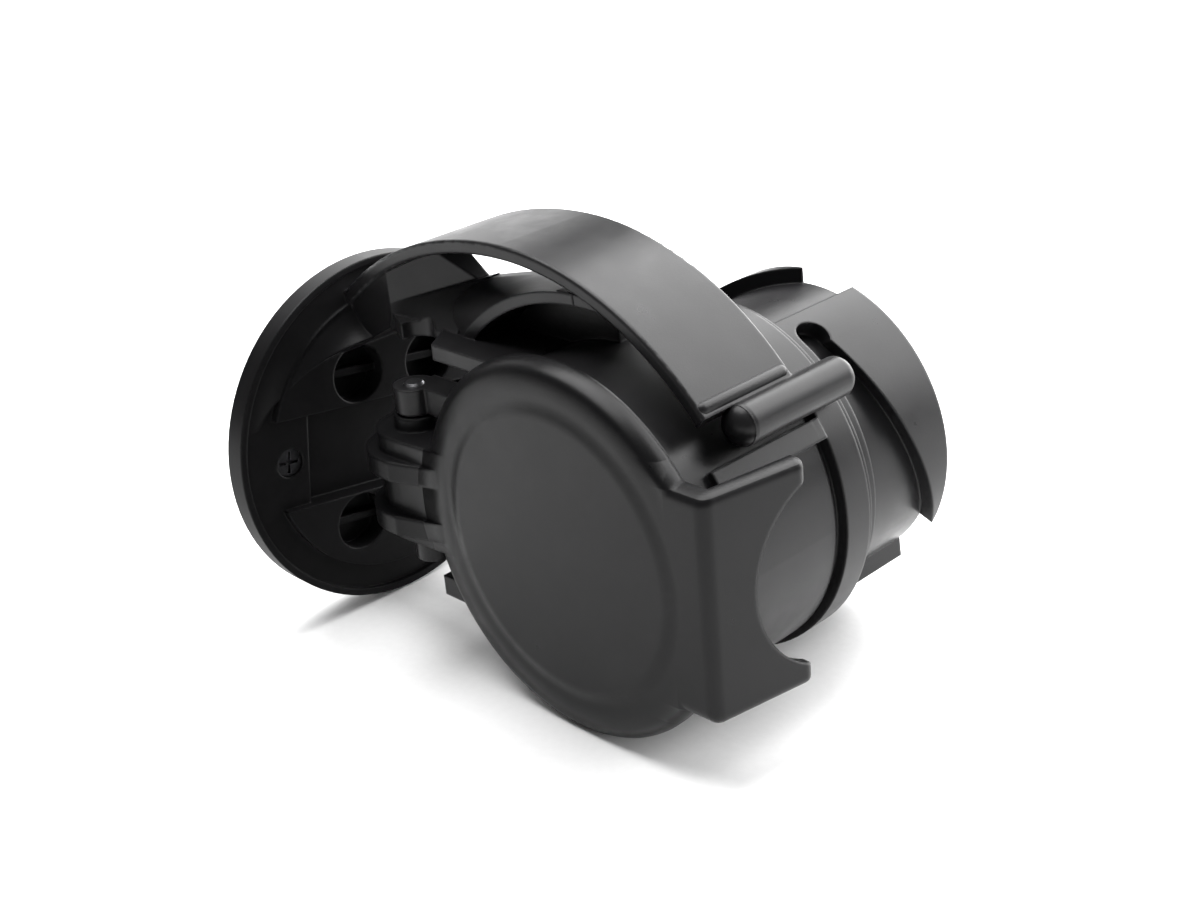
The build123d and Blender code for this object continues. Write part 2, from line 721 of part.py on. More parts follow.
# Socket seal: a flat rubber ring between the insert's base and the web
with BuildPart() as socket_seal:
    revolve(
        stepped_section([(BORE_R - SLIP_GAP, INSERT_SEAT, SEAT_Y)]),
        axis=Axis.Y,
    )
    with BuildSketch(across(INSERT_SEAT)):
        Circle(WIRE_HOLE_R)
        with PolarLocations(CLAMP_CIRCLE, CLAMP_SCREWS, start_angle=CLAMP_TURN):
            Circle(SCREW_R)
    extrude(amount=-SOCKET_SEAL_THICK, mode=Mode.SUBTRACT)
socket_seal.part.label = "socket_seal"
export_step(socket_seal.part, "parts/socket_seal.step")

# Clamp screws: three long screws from the socket insert's base into the plug insert's flange
with BuildPart() as clamp_screws:
    head_y = INSERT_SEAT - INSERT_BASE - SCREW_HEAD
    for radius, start, end in (
        (SCREW_HEAD_R, head_y, head_y + SCREW_HEAD),
        (SCREW_R - SLIP_GAP, head_y + SCREW_HEAD, FLANGE_SEAT + CLAMP_DEEP - 0.3),
    ):
        with BuildSketch(across(start)):
            with PolarLocations(CLAMP_CIRCLE, CLAMP_SCREWS, start_angle=CLAMP_TURN):
                Circle(radius)
        extrude(amount=start - end)
    with BuildSketch(across(head_y)):
        with PolarLocations(CLAMP_CIRCLE, CLAMP_SCREWS, start_angle=CLAMP_TURN):
            Rectangle(2 * SCREW_HEAD_R - 1.0, SLOT_WIDTH)
            Rectangle(SLOT_WIDTH, 2 * SCREW_HEAD_R - 1.0)
    extrude(amount=-SCREW_HEAD / 2, mode=Mode.SUBTRACT)
clamp_screws.part.label = "clamp_screws"
export_step(clamp_screws.part, "parts/clamp_screws.step")

# Contact plate: the thin plate behind the socket insert that keeps the contacts in
with BuildPart() as contact_plate:
    with BuildSketch(across(INSERT_SEAT)):
        Circle(WIRE_HOLE_R - RUN_GAP)
        Circle(CONTACT_TAIL_R + SLIP_GAP, mode=Mode.SUBTRACT)
        with PolarLocations(CONTACT_CIRCLE, CONTACTS_ROUND, start_angle=30):
            Circle(CONTACT_TAIL_R + SLIP_GAP, mode=Mode.SUBTRACT)
    extrude(amount=-CONTACT_PLATE)
contact_plate.part.label = "contact_plate"
export_step(contact_plate.part, "parts/contact_plate.step")

# Plug insert: flange, nose and the keyed shroud that the thirteen pins stand in
with BuildPart() as plug_insert:
    revolve(
        stepped_section(
            [
                (FLANGE_R, FLANGE_SEAT, COLLAR_END),
                (NOSE_R, COLLAR_END, NOSE_END),
            ]
        ),
        axis=Axis.Y,
    )
    with BuildSketch(across(NOSE_END - KEY_LENGTH)):
        with Locations((0, -NOSE_R)):
            Rectangle(KEY_WIDTH, 2 * KEY_HEIGHT)
    extrude(amount=-KEY_LENGTH)
    with BuildSketch(across(NOSE_FLOOR)):
        Circle(NOSE_R - NOSE_WALL)
    extrude(amount=NOSE_FLOOR - NOSE_END, mode=Mode.SUBTRACT)
    nose_rim = plug_insert.edges().filter_by(GeomType.CIRCLE).group_by(Axis.Y)[-1]
    chamfer(nose_rim, length=RIM_EDGE * 0.6)
    with BuildSketch(Plane.XY):
        with Locations((NOSE_R, RETAINER_Y + RETAINER_WIDTH / 2)):
            Rectangle(2 * RETAINER_GROOVE, RETAINER_WIDTH)
        with Locations((NOSE_R, NOSE_SEAL_Y + NOSE_SEAL_WIDTH / 2)):
            Rectangle(2 * SEAL_GROOVE, NOSE_SEAL_WIDTH)
    revolve(axis=Axis.Y, mode=Mode.SUBTRACT)
    with BuildSketch(across(FLANGE_SEAT)):
        Circle(PIN_R)
        with PolarLocations(OUTER_PIN_CIRCLE, OUTER_PINS, start_angle=22.5):
            Circle(PIN_R)
        with PolarLocations(INNER_PIN_CIRCLE, INNER_PINS):
            Circle(PIN_R)
    extrude(amount=FLANGE_SEAT - NOSE_FLOOR, mode=Mode.SUBTRACT)
    with BuildSketch(across(FLANGE_SEAT)):
        with PolarLocations(CLAMP_CIRCLE, CLAMP_SCREWS, start_angle=CLAMP_TURN):
            Circle(SCREW_R)
    extrude(amount=-CLAMP_DEEP, mode=Mode.SUBTRACT)
plug_insert.part.label = "plug_insert"
export_step(plug_insert.part, "parts/plug_insert.step")

# Plug gasket: a flat rubber ring between the housing's shoulder and the plug insert
with BuildPart() as plug_gasket:
    with BuildSketch(across(HOLDER_SEAT)):
        Circle(FLANGE_R)
        Circle(REAR_HOLE_R, mode=Mode.SUBTRACT)
        with PolarLocations(CLAMP_CIRCLE, CLAMP_SCREWS, start_angle=CLAMP_TURN):
            Circle(SCREW_R, mode=Mode.SUBTRACT)
    extrude(amount=-PLUG_GASKET)
plug_gasket.part.label = "plug_gasket"
export_step(plug_gasket.part, "parts/plug_gasket.step")

# Plug pins: thirteen brass pins, pressed through the floor of the nose
with BuildPart() as plug_pins:
    with BuildSketch(across(FLANGE_SEAT - PIN_TAIL)):
        Circle(PIN_R - SLIP_GAP)
        with PolarLocations(OUTER_PIN_CIRCLE, OUTER_PINS, start_angle=22.5):
            Circle(PIN_R - SLIP_GAP)
        with PolarLocations(INNER_PIN_CIRCLE, INNER_PINS):
            Circle(PIN_R - SLIP_GAP)
    extrude(amount=FLANGE_SEAT - PIN_TAIL - PIN_TIP)
    tips = plug_pins.edges().filter_by(GeomType.CIRCLE).group_by(Axis.Y)[-1]
    chamfer(tips, length=0.5)
plug_pins.part.label = "plug_pins"
export_step(plug_pins.part, "parts/plug_pins.step")

# Plug seal: a rubber ring in the nose's front groove
with BuildPart() as plug_seal:
    seal_low_r = NOSE_R - SEAL_GROOVE + SLIP_GAP
    seal_high_r = NOSE_R + NOSE_SEAL_HEIGHT
    seal_end = NOSE_SEAL_Y + NOSE_SEAL_WIDTH - SLIP_GAP
    with BuildSketch(Plane.XY):
        with BuildLine():
            crown = ThreePointArc(
                (NOSE_R, NOSE_SEAL_Y + SLIP_GAP),
                (seal_high_r, NOSE_SEAL_Y + NOSE_SEAL_WIDTH / 2),
                (NOSE_R, seal_end),
            )
            Polyline(
                crown @ 1, (seal_low_r, seal_end), (seal_low_r, NOSE_SEAL_Y + SLIP_GAP), crown @ 0
            )
        make_face()
    revolve(axis=Axis.Y)
plug_seal.part.label = "plug_seal"
export_step(plug_seal.part, "parts/plug_seal.step")

# Ring retainer: the split ring in the nose's back groove that keeps the bayonet ring on
with BuildPart() as ring_retainer:
    with BuildSketch(across(RETAINER_Y + SLIP_GAP)):
        Circle(NOSE_R - RETAINER_GROOVE + RETAINER_HEIGHT)
        Circle(NOSE_R - RETAINER_GROOVE + SLIP_GAP, mode=Mode.SUBTRACT)
        with Locations((NOSE_R, 0)):
            Rectangle(5.0, 2.0, mode=Mode.SUBTRACT)
    extrude(amount=2 * SLIP_GAP - RETAINER_WIDTH)
ring_retainer.part.label = "ring_retainer"
export_step(ring_retainer.part, "parts/ring_retainer.step")

# Link wires: insulated leads from the contact tails to the nearest pin tails
with BuildPart() as link_wires:
    wire_front = INSERT_SEAT + CONTACT_TAIL + WIRE_R
    wire_back = FLANGE_SEAT - PIN_TAIL - WIRE_R
    routes = [(CONTACT_CIRCLE, 30 + 60 * k, OUTER_PIN_CIRCLE) for k in range(CONTACTS_ROUND)]
    pin_turns = (22.5, 67.5, 157.5, 202.5, 247.5, 337.5)
    for (reach, turn, pin_reach), pin_turn in zip(routes, pin_turns):
        start = Vector(reach, 0, 0).rotate(Axis.Z, turn)
        end = Vector(pin_reach, 0, 0).rotate(Axis.Z, pin_turn)
        with BuildLine() as route:
            lead = Line((start.X, wire_front, start.Y), (end.X, wire_back, end.Y))
        with BuildSketch(Plane(origin=lead @ 0, z_dir=lead % 0)):
            Circle(WIRE_R)
        sweep(path=route.line)
link_wires.part.label = "link_wires"
export_step(link_wires.part, "parts/link_wires.step")

# One raised start of the bayonet ring: a sector whose near side is cut away up to a slanting
# wall, which runs from a rounded end by the collar to a point at the ring's rim
with BuildPart() as slant_cut:
    with BuildSketch(across(WALL_FOOT + SLOT_BACK)):
        with BuildLine():
            near = CenterArc((0, 0), RING_HIGH_R + 2.0, RAMP_TIP - 30, RAMP_CLOSED - RAMP_TIP + 30)
            Polyline(near @ 1, (0, 0), near @ 0)
        make_face()
    extrude(amount=-RING_LENGTH)
    slant = Plane(
        origin=(0, WALL_REACH, 0),
        z_dir=(
            WALL_SLOPE * math.cos(math.radians(WALL_TURN)),
            1,
            WALL_SLOPE * math.sin(math.radians(WALL_TURN)),
        ),
    )
    split(bisect_by=slant, keep=Keep.BOTTOM)

with BuildPart() as raised_start:
    with BuildSketch(across(WALL_FOOT)):
        with BuildLine():
            outer = CenterArc((0, 0), RING_HIGH_R, RAMP_TIP, RAMP_START - RAMP_TIP)
            inner = CenterArc((0, 0), RING_LOW_R - 0.6, RAMP_TIP, RAMP_START + RAMP_RUN - RAMP_TIP)
            Line(outer @ 0, inner @ 0)
            Line(outer @ 1, inner @ 1)
        make_face()
    extrude(amount=WALL_FOOT - RING_END)
    add(slant_cut.part, mode=Mode.SUBTRACT)
    slot_end = Plane(
        origin=(0, SLOT_END_Y, 0),
        x_dir=(0, 1, 0),
        z_dir=(math.cos(math.radians(RAMP_CLOSED)), 0, math.sin(math.radians(RAMP_CLOSED))),
    )
    with BuildSketch(slot_end):
        Circle(SLOT_END_R)
    extrude(amount=RING_HIGH_R + 2.0, mode=Mode.SUBTRACT)

# Bayonet ring: a turning collar with three raised starts, each with one slanting wall
with BuildPart() as bayonet_ring:
    revolve(
        stepped_section(
            [
                (RING_LOW_R, RING_FRONT, RING_END),
                (RING_LIP_R, RING_FRONT, RING_FRONT + RING_LIP_WIDTH),
            ]
        ),
        axis=Axis.Y,
    )
    for start in range(RING_STARTS):
        turn = start * 360 / RING_STARTS
        add(raised_start.part.rotate(Axis.Y, -turn))
    with BuildSketch(Plane.XY):
        with Locations((RING_BORE_R / 2, (RING_FRONT + RING_WEB + RING_END + 1.0) / 2)):
            Rectangle(RING_BORE_R, RING_LENGTH - RING_WEB + 1.0)
        with Locations(((NOSE_R + RUN_GAP) / 2, RING_FRONT)):
            Rectangle(NOSE_R + RUN_GAP, 2 * RING_WEB + 1.0)
    revolve(axis=Axis.Y, mode=Mode.SUBTRACT)
bayonet_ring.part.label = "bayonet_ring"
export_step(bayonet_ring.part, "parts/bayonet_ring.step")

# Lid: round plate with a raised face, square corners at the skirt and a scooped finger skirt
with BuildPart() as lid:
    with BuildSketch(across(LID_FRONT)):
        Circle(LID_R)
        with Locations((LID_R / 2, 0)):
            Rectangle(LID_R, 2 * LID_EAR_Z)
    extrude(amount=-LID_THICK)
    # Finger skirt, flared away from the body
    with BuildSketch(Plane.XY.offset(-LID_EAR_Z)):
        Polygon(
            (TUBE_R + 2 * RUN_GAP, LID_BACK - 0.2),
            (TUBE_R + 2 * RUN_GAP, LID_FRONT),
            (LID_R, LID_FRONT),
            (LID_R + SKIRT_FLARE, LID_FRONT + SKIRT_LENGTH),
            (LID_R + SKIRT_FLARE - SKIRT_THICK, LID_FRONT + SKIRT_LENGTH),
            align=None,
        )
    extrude(amount=2 * LID_EAR_Z)
    front_edges = lid.edges().group_by(Axis.Y)[0]
    fillet(front_edges, radius=LID_EDGE)
    # The raised face, whose edge runs out in a soft step
    with BuildSketch(Plane.XY):
        with BuildLine():
            face_edge = Spline(
                (FACE_R, LID_FRONT - FACE_STEP),
                (FACE_R + FACE_EDGE, LID_FRONT),
                tangents=((1, 0), (1, 0)),
            )
            Polyline(
                face_edge @ 1,
                (FACE_R + FACE_EDGE, LID_FRONT + FACE_STEP),
                (0, LID_FRONT + FACE_STEP),
                (0, LID_FRONT - FACE_STEP),
                face_edge @ 0,
            )
        make_face()
    revolve(axis=Axis.Y)
    # The finger scoop in the skirt
    with BuildSketch(beside(LID_R - SKIRT_THICK - 2.0)):
        with Locations((SCOOP_DEEP + SCOOP_R, 0)):
            Circle(SCOOP_R)
    extrude(amount=SKIRT_THICK + SKIRT_FLARE + 4.0, mode=Mode.SUBTRACT)
    fillet(lid.edges().filter_by(is_tip_edge), radius=TIP_EDGE)
    fillet(lid.edges().filter_by(is_skirt_edge), radius=SKIRT_EDGE)
    # Knuckle block: the thick arm that wraps the hinge pin, with its two tapering bands
    for radius, low, high, end in (
        (KNUCKLE_R, KNUCKLE_LOW, KNUCKLE_TOP, ARM_END),
        (KNUCKLE_R + RIB_RISE, RIB_PITCH / 2 - RIB_WIDTH / 2, RIB_PITCH / 2 + RIB_WIDTH / 2, RIB_END),
        (KNUCKLE_R + RIB_RISE, -RIB_PITCH / 2 - RIB_WIDTH / 2, RIB_WIDTH / 2 - RIB_PITCH / 2, RIB_END),
    ):
        with BuildSketch(Plane.XY.offset(low)):
            with Locations((PIN_X, PIN_Y)):
                Circle(radius)
            Polygon(
                (PIN_X, PIN_Y - radius),
                (PIN_X + 2.0, PIN_Y - radius),
                (end, LID_FRONT),
                (end, LID_BACK),
                (TUBE_SIDE, LID_BACK),
                (PIN_X, PIN_Y + ARM_BACK),
                align=None,
            )
        extrude(amount=high - low)
    with BuildSketch(Plane.XY.offset(KNUCKLE_TOP)):
        with Locations((PIN_X, PIN_Y)):
            Circle(COLLET_R)
    extrude(amount=COLLET_TOP - KNUCKLE_TOP)
    # Seat of the seal, the pin hole and the pocket of the spring
    with BuildSketch(across(LID_BACK)):
        Circle(LID_SEAL_R + SLIP_GAP)
    extrude(amount=LID_SEAL_SUNK, mode=Mode.SUBTRACT)
    with BuildSketch(Plane.XY.offset(KNUCKLE_LOW - 1.0)):
        with Locations((PIN_X, PIN_Y)):
            Circle(HINGE_PIN_R + SLIP_GAP)
    extrude(amount=COLLET_TOP - KNUCKLE_LOW + 2.0, mode=Mode.SUBTRACT)
    with BuildSketch(Plane.XY.offset(-SPRING_POCKET_Z)):
        with Locations((PIN_X, PIN_Y)):
            Circle(SPRING_POCKET_R)
        with Locations((PIN_X, PIN_Y + KNUCKLE_R)):
            Rectangle(2 * SPRING_POCKET_R, 2 * KNUCKLE_R)
    extrude(amount=2 * SPRING_POCKET_Z, mode=Mode.SUBTRACT)
lid.part.label = "lid"
export_step(lid.part, "parts/lid.step")

# Lid seal: the rubber disc that closes on the tube's rim
with BuildPart() as lid_seal:
    with BuildSketch(across(LID_BACK - LID_SEAL_SUNK)):
        Circle(LID_SEAL_R)
    extrude(amount=-LID_SEAL_THICK)
lid_seal.part.label = "lid_seal"
export_step(lid_seal.part, "parts/lid_seal.step")

# Hinge pin: a steel rod through both lugs and the knuckle
with BuildPart() as hinge_pin:
    with BuildSketch(Plane.XY.offset(LUG_LOW_END)):
        with Locations((PIN_X, PIN_Y)):
            Circle(HINGE_PIN_R)
    extrude(amount=HINGE_PIN_TOP - LUG_LOW_END)
    chamfer(hinge_pin.edges().filter_by(GeomType.CIRCLE), length=0.3)
hinge_pin.part.label = "hinge_pin"
export_step(hinge_pin.part, "parts/hinge_pin.step")

# Lid spring: a coil round the pin, inside the knuckle's pocket, that pushes the lid shut
with BuildPart() as lid_spring:
    with BuildLine():
        coil = Helix(
            pitch=2 * (SPRING_POCKET_Z - SPRING_WIRE) / SPRING_TURNS,
            height=2 * (SPRING_POCKET_Z - SPRING_WIRE),
            radius=SPRING_R,
            center=(PIN_X, PIN_Y, SPRING_WIRE - SPRING_POCKET_Z),
        )
    with BuildSketch(Plane(origin=coil @ 0, z_dir=coil % 0)):
        Circle(SPRING_WIRE / 2)
    sweep(is_frenet=True)
lid_spring.part.label = "lid_spring"
export_step(lid_spring.part, "parts/lid_spring.step")
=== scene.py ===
import math

import bpy
from mathutils import Matrix, Vector


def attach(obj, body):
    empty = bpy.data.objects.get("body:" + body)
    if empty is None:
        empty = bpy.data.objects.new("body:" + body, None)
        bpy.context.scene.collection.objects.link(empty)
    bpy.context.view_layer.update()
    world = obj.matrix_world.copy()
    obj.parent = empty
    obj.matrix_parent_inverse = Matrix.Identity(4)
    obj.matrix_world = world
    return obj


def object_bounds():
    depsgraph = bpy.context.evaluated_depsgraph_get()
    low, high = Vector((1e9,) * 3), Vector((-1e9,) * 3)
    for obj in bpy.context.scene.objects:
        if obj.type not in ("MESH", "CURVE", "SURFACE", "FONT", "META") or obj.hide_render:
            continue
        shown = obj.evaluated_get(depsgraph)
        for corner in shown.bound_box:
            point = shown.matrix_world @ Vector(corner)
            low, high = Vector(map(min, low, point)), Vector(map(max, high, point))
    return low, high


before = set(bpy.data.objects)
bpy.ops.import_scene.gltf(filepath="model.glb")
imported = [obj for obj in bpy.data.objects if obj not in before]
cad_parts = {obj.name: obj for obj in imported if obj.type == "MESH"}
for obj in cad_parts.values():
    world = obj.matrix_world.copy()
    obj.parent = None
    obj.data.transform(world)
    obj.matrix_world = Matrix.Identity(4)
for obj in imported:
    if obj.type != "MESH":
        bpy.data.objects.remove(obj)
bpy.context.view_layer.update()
bpy.ops.object.select_all(action="DESELECT")


# The housing is one black moulding: the tube and bell of the socket end, the round flange
# beside it, the hood and strap over the top and the neck that the coupling ring turns on.
# It is glass-filled nylon from a spark-finished mould, so it is satin with a fine grain.
# Flat black that is mixed into a moulding as painted shade, where it lies in shade.
SHADE_BLACK = (0.004, 0.004, 0.0042)
BEVEL_SAMPLES = 6


class Value:
    """A number that changes over a surface. Arithmetic on it adds Math nodes."""

    def __init__(self, finish, socket):
        self.finish = finish
        self.socket = socket

    def maths(self, operation, first, second):
        return self.finish.node("Math", {"operation": operation}, {0: first, 1: second})

    def __add__(self, other):
        return self.maths("ADD", self, other)

    __radd__ = __add__

    def __sub__(self, other):
        return self.maths("SUBTRACT", self, other)

    def __rsub__(self, other):
        return self.maths("SUBTRACT", other, self)

    def __mul__(self, other):
        return self.maths("MULTIPLY", self, other)

    __rmul__ = __mul__

    def __abs__(self):
        return self.maths("ABSOLUTE", self, 0.0)


class Finish:
    """One material, built up node by node on the piece's own Object coordinates."""

    def __init__(self, name):
        self.material = bpy.data.materials.new(name)
        self.material.use_nodes = True
        self.tree = self.material.node_tree
        self.tree.nodes.clear()
        self.place = self.node("TexCoord", output="Object")

    def node(self, kind, settings={}, sockets={}, output=0):
        """Adds one node. Its settings are set first, then its sockets' values or links."""
        made = self.tree.nodes.new("ShaderNode" + kind)
        for name, value in settings.items():
            setattr(made, name, value)
        for name, value in sockets.items():
            if isinstance(value, Value):
                self.tree.links.new(value.socket, made.inputs[name])
            else:
                made.inputs[name].default_value = value
        return Value(self, made.outputs[output]) if made.outputs else None

    def noise(self, size, detail=2.0, roughness=0.5):
        """Noise from 0 to 1 whose spots are about this many millimetres across."""
        sockets = {"Vector": self.place, "Scale": 1000 / size}
        sockets.update(Detail=detail, Roughness=roughness)
        return self.node("TexNoise", {}, sockets)

    def between(self, factor, low, high):
        """A colour that goes from low to high as the factor goes from 0 to 1."""
        sockets = {"Factor": factor, 6: (*low, 1.0), 7: (*high, 1.0)}
        return self.node("Mix", {"data_type": "RGBA"}, sockets, output=2)

    def range(self, value, low, high, new_low=0.0, new_high=1.0):
        """The value's range from low to high stretched to a new range."""
        sockets = {"Value": value, 1: low, 2: high, 3: new_low, 4: new_high}
        return self.node("MapRange", {}, sockets)

    def position(self, axis):
        """How far a place lies along an axis: 0, 1 or 2 for x, y or z."""
        return self.node("SeparateXYZ", {}, {"Vector": self.place}, output=axis)

    def along(self, axis, start, end):
        """From 0 at the start to 1 at the end, in millimetres along this axis."""
        return self.range(self.position(axis), start / 1000, end / 1000)

    def relief(self, height, depth, edge=0.25):
        """Bumps this many millimetres deep, over edges softened to this radius."""
        softened = self.node("Bevel", {"samples": BEVEL_SAMPLES}, {"Radius": edge / 1000})
        sockets = {"Height": height, "Distance": depth / 1000, "Normal": softened}
        return self.node("Bump", {}, sockets)

    def surface(self, matt=None, **sockets):
        """The piece's shader, with a share of flat black diffuse mixed in as painted shade
        where matt is above 0. The names of its sockets are given with _ for each space."""
        named = {name.replace("_", " "): value for name, value in sockets.items()}
        shader = self.node("BsdfPrincipled", {}, named)
        if matt:
            plain = {"Color": (*SHADE_BLACK, 1.0), "Normal": named["Normal"]}
            black = self.node("BsdfDiffuse", {}, plain)
            shader = self.node("MixShader", {}, {0: matt, 1: shader, 2: black})
        self.node("OutputMaterial", {}, {"Surface": shader})
        return self.material


def paint(material, *names):
    """Gives these CAD nodes the material all over."""
    for name in names:
        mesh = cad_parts[name].data
        mesh.materials.clear()
        mesh.materials.append(material)


# Sizes and places on a moulding's surface, in millimetres.
DRIFT_SIZE = 14.0
RUBBED_SIZE = 5.0
# How far leftwards the painted shade fades in, and the heights between which it fades out
# upwards.
SHADE_RUN = 9.0
SHADE_HIGH = 24.0
SHADE_LOW = 18.0
EAR_FADE = 3.0
CORNER_INSIDE = 2.0
CORNER_OUTSIDE = 1.0
# How much smoother it is where it is rubbed, and the share of black painted shade mixed in
# where the moulding lies in shade.
RUBBED_GLOSS = 0.12
SHADE_SHARE = 0.6
# Leaves x and z of a place, so that its length is its distance from the lid's own axis.
OFF_AXIS = (1, 0, 1)


def moulded(
    name, dark, light, sheen, grain, depth, edge=0.4, gloss=1.28, shade_from=None, crown=None
):
    """Satin moulded plastic: drifting tone, a fine grain and faint rubbed patches. Where a
    place is given, black painted shade is mixed in to the left of it, below the strap. A crown
    rounds a disc's rim off, from one radius to another and by a drop, except on the square
    ears to the right of the corner, all in millimetres."""
    finish = Finish(name)
    painted_shade = None
    # Painted shade: flat black mixed in to the left of the given place and below the strap.
    if shade_from:
        leftward = finish.along(0, shade_from, shade_from - SHADE_RUN)
        painted_shade = leftward * finish.along(2, SHADE_HIGH, SHADE_LOW) * SHADE_SHARE
    drift = finish.noise(DRIFT_SIZE, 3.0)
    speckle = finish.noise(grain, 3.0, 0.6)
    rubbed = finish.range(finish.noise(RUBBED_SIZE, 5.0, 0.6), 0.45, 0.8)
    tone = finish.range(drift * 0.75 + speckle * 0.25, 0.3, 0.7)
    height = (speckle + drift * 0.6) * depth
    if crown:
        start, end, drop, corner = crown
        sockets = {0: finish.place, 1: OFF_AXIS}
        flat = finish.node("VectorMath", {"operation": "MULTIPLY"}, sockets)
        radius = finish.node("VectorMath", {"operation": "LENGTH"}, {0: flat}, output="Value")
        outward = finish.range(radius, start / 1000, end / 1000)
        outside = (corner + CORNER_OUTSIDE) / 1000
        inside = (corner - CORNER_INSIDE) / 1000
        level = finish.range(abs(finish.position(2)), outside, inside)
        ear = finish.along(0, corner - EAR_FADE, corner + EAR_FADE) * level
        height = height - outward * outward * (1.0 - ear) * drop
    polished = finish.range(rubbed + speckle * 0.3, 0.0, 1.3, sheen, sheen - RUBBED_GLOSS)
    return finish.surface(
        matt=painted_shade,
        Base_Color=finish.between(tone, dark, light),
        Roughness=polished,
        IOR=gloss,
        Normal=finish.relief(height, 1.0, edge),
    )


BODY_DARK = (0.0065, 0.0063, 0.0068)
BODY_LIGHT = (0.011, 0.0107, 0.0114)
# Left of the flange's edge and below the strap, the housing is darkened with painted shade.
FLANGE_EDGE = -38.0
black_nylon = moulded(
    "black_nylon",
    BODY_DARK,
    BODY_LIGHT,
    sheen=0.36,
    grain=0.22,
    depth=0.01,
    edge=0.5,
    shade_from=FLANGE_EDGE,
)
paint(black_nylon, "housing")


SMOOTH_ANGLE = math.radians(40)


def rounded_end(name, place, radius, depth, material):
    """A low dome on the front end of a round bar, on the lid's side, in millimetres."""
    bpy.ops.object.select_all(action="DESELECT")
    bpy.ops.mesh.primitive_uv_sphere_add(segments=48, ring_count=24, radius=radius / 1000)
    dome = bpy.context.object
    dome.name = name
    bpy.ops.object.mode_set(mode="EDIT")
    bpy.ops.mesh.bisect(plane_co=(0, 0, 0), plane_no=(0, 1, 0), clear_outer=True, use_fill=True)
    bpy.ops.mesh.select_all(action="SELECT")
    bpy.ops.transform.resize(value=(1.0, depth / radius, 1.0))
    bpy.ops.transform.translate(value=[number / 1000 for number in place])
    bpy.ops.object.mode_set(mode="OBJECT")
    bpy.ops.object.shade_smooth_by_angle(angle=SMOOTH_ANGLE)
    dome.data.materials.append(material)
    return dome


# The finger bead at the strap's end is closed by a low rounded nose, so its front end
# catches the light. It is part of the same moulding.
BEAD_FRONT = (21.1, 11.4, 19.0)
BEAD_RADIUS = 2.84
NOSE_DEPTH = 2.4
bead_nose = rounded_end("bead_nose", BEAD_FRONT, BEAD_RADIUS, NOSE_DEPTH, black_nylon)
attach(bead_nose, "body")


def rounded_bar(name, low, high, rounding, material):
    """A bar between two corners, in millimetres, with all its edges rounded."""
    bpy.ops.object.select_all(action="DESELECT")
    bpy.ops.mesh.primitive_cube_add(size=1.0)
    bar = bpy.context.object
    bar.name = name
    middle = [(a + b) / 2000 for a, b in zip(low, high)]
    bpy.ops.object.mode_set(mode="EDIT")
    bpy.ops.transform.resize(value=[(b - a) / 1000 for a, b in zip(low, high)])
    bpy.ops.transform.translate(value=middle)
    bpy.ops.mesh.bevel(offset=rounding / 1000, segments=8)
    bpy.ops.object.mode_set(mode="OBJECT")
    bpy.ops.object.shade_smooth_by_angle(angle=SMOOTH_ANGLE)
    bar.data.materials.append(material)
    return bar


# The hood's mouth does not stop short: its lip runs on to the right and up into the
# underside of the strap, which closes the wedge between the two.
LIP_LOW = (-4.2, 5.1, 31.9)
LIP_HIGH = (3.2, 13.0, 33.6)
LIP_ROUNDING = 0.12
hood_lip = rounded_bar("hood_lip", LIP_LOW, LIP_HIGH, LIP_ROUNDING, black_nylon)
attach(hood_lip, "body")


# The strap's end is rolled over before the bead: a slim rounded line runs along it from
# front to back, with a shallow groove between the two where a finger tip catches.
ROLL_LOW = (18.05, 5.2, 21.15)
ROLL_HIGH = (20.1, 21.8, 23.2)
ROLL_ROUNDING = 1.0
strap_roll = rounded_bar("strap_roll", ROLL_LOW, ROLL_HIGH, ROLL_ROUNDING, black_nylon)
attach(strap_roll, "body")


# The flange is closed from outside by a round cover, held by screws on a rubber gasket.
# The cover is moulded from the same nylon in another tool, a little duller.
COVER_DARK = (0.009, 0.0088, 0.0094)
COVER_LIGHT = (0.015, 0.0147, 0.0154)
cover_nylon = moulded(
    "cover_nylon", COVER_DARK, COVER_LIGHT, sheen=0.48, grain=0.26, depth=0.03
)
paint(cover_nylon, "side_cover")


# The size of the bloom's patches and of the nap's grain, in millimetres.
BLOOM_SIZE = 2.2
NAP_SIZE = 0.12


def rubber(name, dark, light):
    """Soft black rubber with a chalky bloom and a faint moulded nap."""
    finish = Finish(name)
    bloom = finish.noise(BLOOM_SIZE, 4.0, 0.6)
    nap = finish.noise(NAP_SIZE, 2.0)
    return finish.surface(
        Base_Color=finish.between(finish.range(bloom, 0.35, 0.75), dark, light),
        Roughness=finish.range(bloom, 0.3, 0.7, 0.72, 0.86),
        Normal=finish.relief(nap, 0.02, 0.12),
    )


GASKET_DARK = (0.012, 0.012, 0.013)
GASKET_LIGHT = (0.035, 0.034, 0.034)
gasket_rubber = rubber("gasket_rubber", GASKET_DARK, GASKET_LIGHT)
paint(gasket_rubber, "cover_gasket", "plug_gasket", "plug_seal", "socket_seal")


# The size of the tarnish's patches and the radius of worn edges, in millimetres, and how
# much rougher the metal is where it is tarnished.
TARNISH_SIZE = 3.5
METAL_EDGE = 0.08
TARNISH_DULLING = 0.22


def metal(name, dark, light, rough, grain, depth):
    """Metal with a fine tooled grain, and tarnish that dulls it in patches."""
    finish = Finish(name)
    tarnish = finish.range(finish.noise(TARNISH_SIZE, 5.0, 0.65), 0.42, 0.72)
    tooling = finish.noise(grain, 3.0)
    dulled = finish.range(tarnish + tooling * 0.4, 0.0, 1.4, rough, rough + TARNISH_DULLING)
    return finish.surface(
        Base_Color=finish.between(tarnish, light, dark),
        Metallic=1.0,
        Roughness=dulled,
        Normal=finish.relief(tooling, depth, METAL_EDGE),
    )


